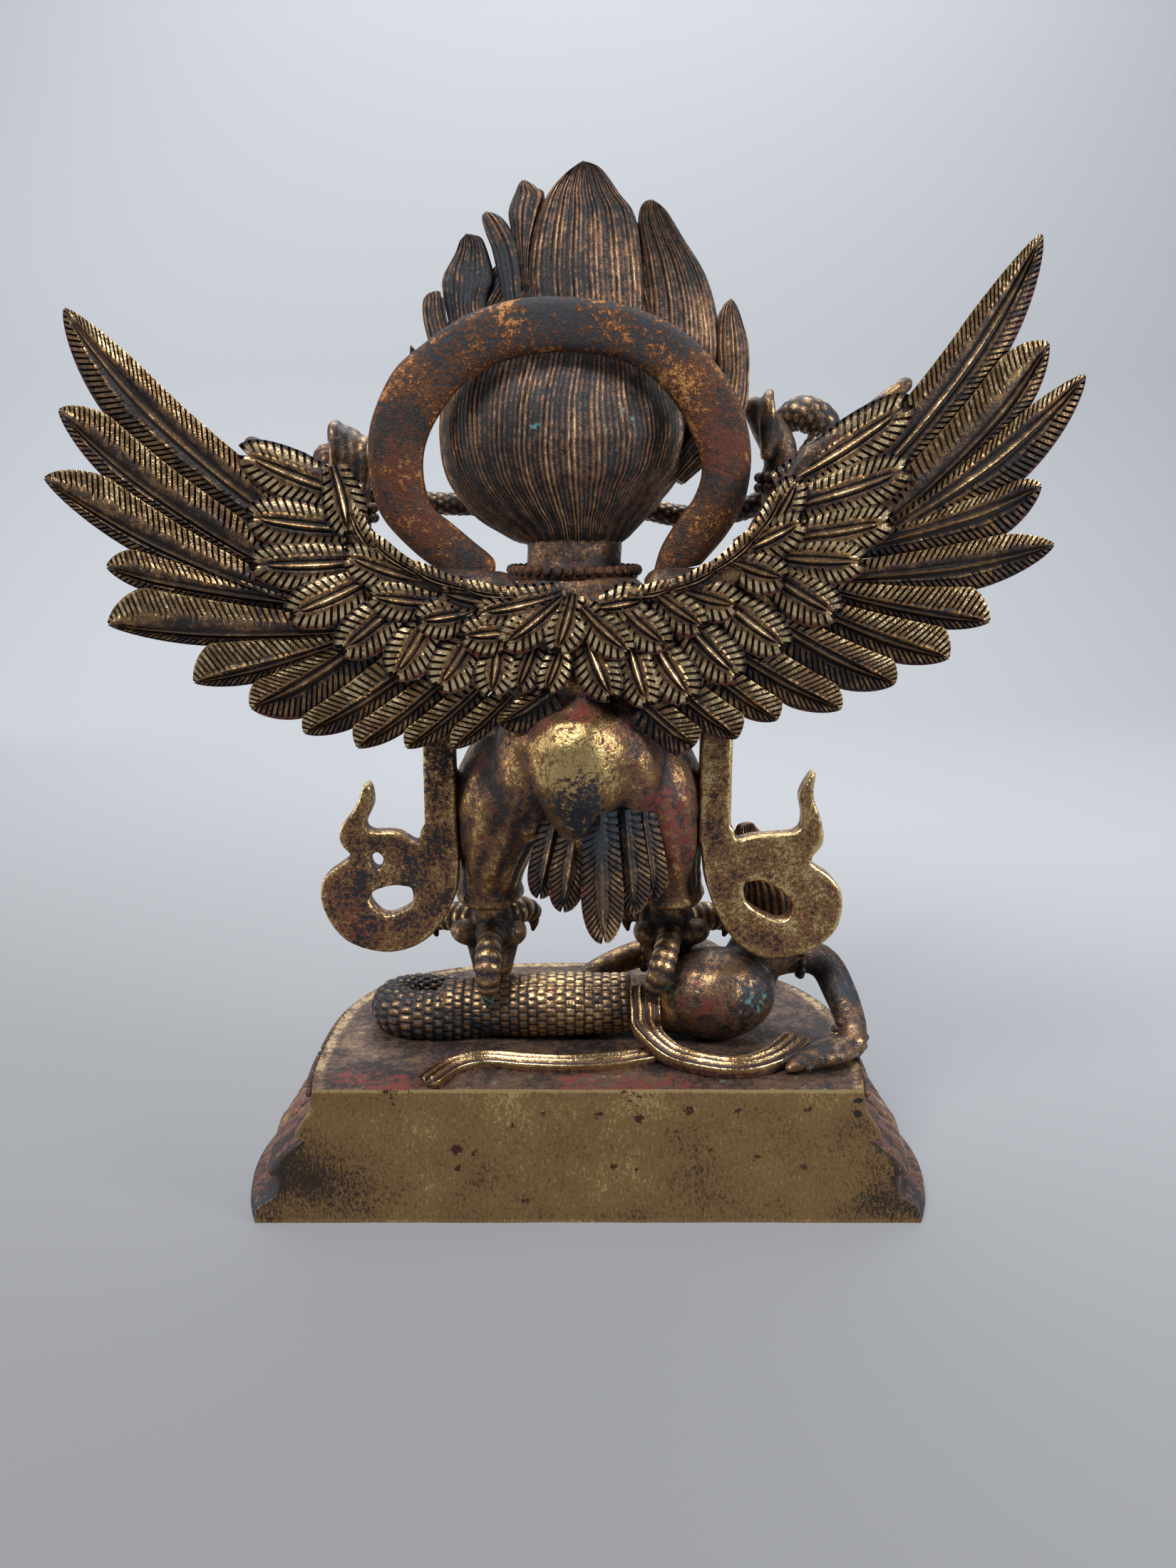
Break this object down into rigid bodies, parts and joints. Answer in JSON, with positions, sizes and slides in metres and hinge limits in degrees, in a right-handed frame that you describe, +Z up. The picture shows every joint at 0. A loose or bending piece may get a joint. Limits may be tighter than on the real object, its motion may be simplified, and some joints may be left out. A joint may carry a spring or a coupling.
{
  "type": "garuda figure",
  "caption": "Winged bird-headed garuda with flaming hair and a serpent, standing on a reclining naga over a half-oval lotus plinth, in gilt bronze.",
  "frame": {"origin": "centre of the plinth's flat underside, on the ground", "axes": "+Z up, +Y the way the figure faces, -Y its back, +X its right-hand side"},
  "size_m": [0.286, 0.119, 0.299],
  "materials": {
    "gilt_bronze": "worn gilding, cold paint and dark patina",
    "worn_bronze": "worn gilding, cold paint and dark patina"
  },
  "bodies": {
    "root": {"garuda": "gilt_bronze", "lotus_plinth_with_naga": "worn_bronze"}
  },
  "joints": []
}
